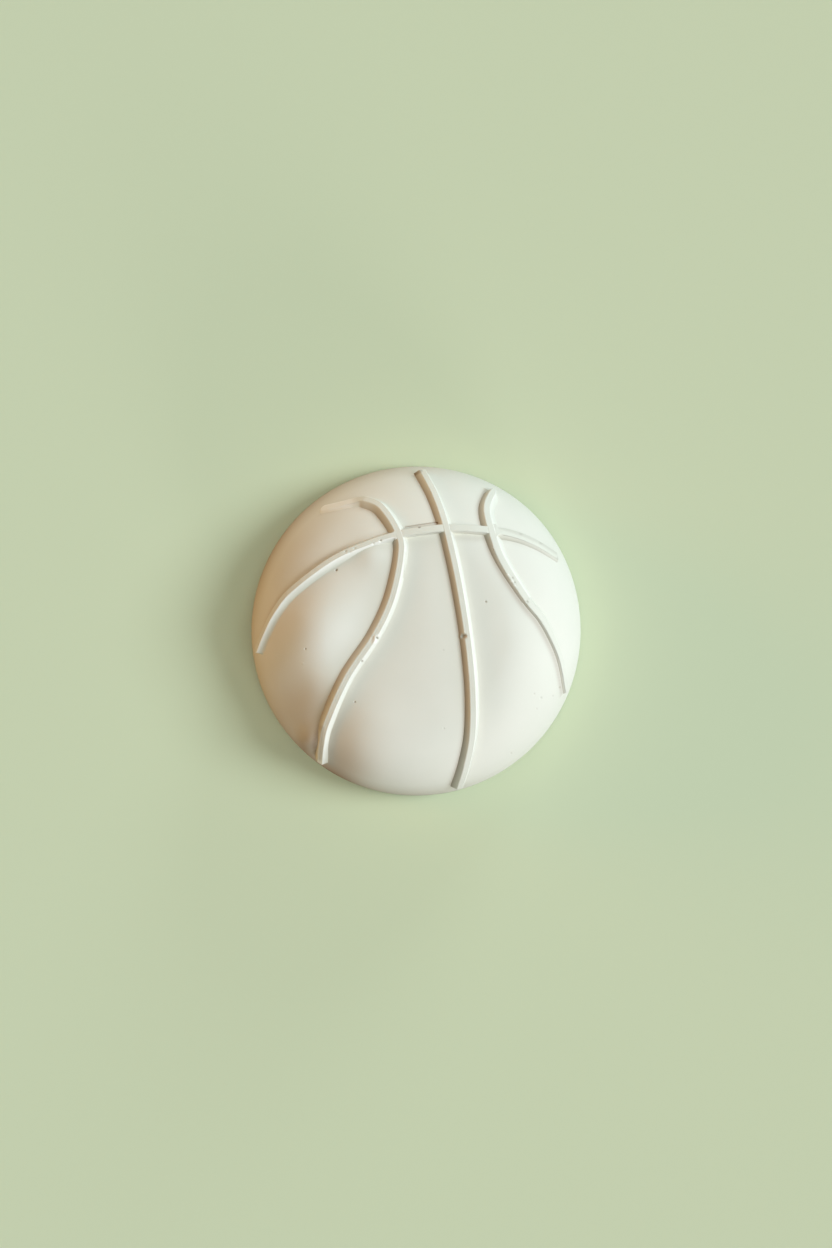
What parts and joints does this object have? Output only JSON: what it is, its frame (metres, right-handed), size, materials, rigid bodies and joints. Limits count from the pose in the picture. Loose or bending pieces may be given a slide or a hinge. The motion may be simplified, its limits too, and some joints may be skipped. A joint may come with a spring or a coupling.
{
  "type": "low-dome ornament",
  "caption": "Cast low-dome ornament with a flat back and the seam lines of a basketball as raised ribs, to stand or be glued on a flat surface.",
  "frame": {"origin": "centre of the flat back, which lies on z = 0", "axes": "+Z out of the flat back through the top of the dome, +Y towards the hooked end of the seam pattern (up in the picture), +X to the right in the picture"},
  "size_m": [0.07, 0.07, 0.0212],
  "materials": {
    "cast_dome": "matte cast plaster",
    "cast_rib": "matte cast plaster"
  },
  "bodies": {
    "root": {"dome_body": "cast_dome", "left_rib_upper": "cast_rib", "left_rib_lower": "cast_rib", "centre_rib_upper": "cast_rib", "centre_rib_lower": "cast_rib", "right_rib_upper": "cast_rib", "right_rib_lower": "cast_rib", "cross_rib_far_left": "cast_rib", "cross_rib_mid_left": "cast_rib", "cross_rib_mid_right": "cast_rib", "cross_rib_far_right": "cast_rib"}
  },
  "joints": []
}
